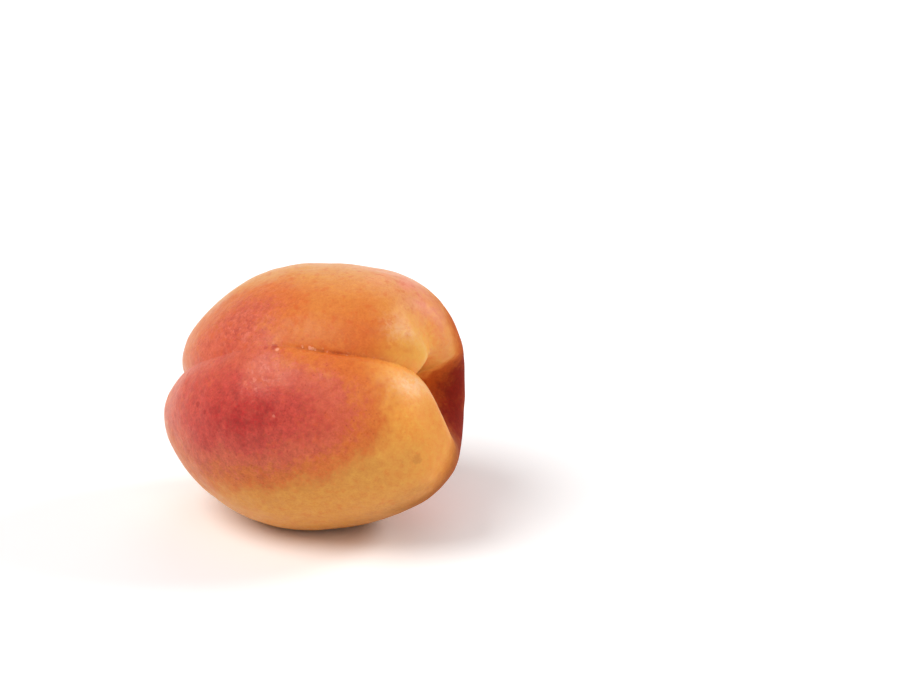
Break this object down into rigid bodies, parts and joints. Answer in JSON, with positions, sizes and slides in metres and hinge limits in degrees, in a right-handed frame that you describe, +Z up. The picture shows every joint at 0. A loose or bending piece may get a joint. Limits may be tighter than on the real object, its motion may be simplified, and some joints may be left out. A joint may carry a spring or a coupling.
{
  "type": "apricot",
  "caption": "Whole ripe apricot lying on its side on a small flat spot, with a seam running from the stem hollow to the tip.",
  "frame": {"origin": "bottom centre of the bounding box, level with the flat spot that the fruit rests on", "axes": "+X runs from the tip towards the stem end and is the longest extent, +Z is up and is the shortest extent, and the seam faces -Y and up"},
  "size_m": [0.055, 0.047, 0.0448],
  "materials": {
    "skin": "velvety skin, ochre to orange with a crimson blush"
  },
  "bodies": {
    "root": {"apricot": "skin"}
  },
  "joints": []
}
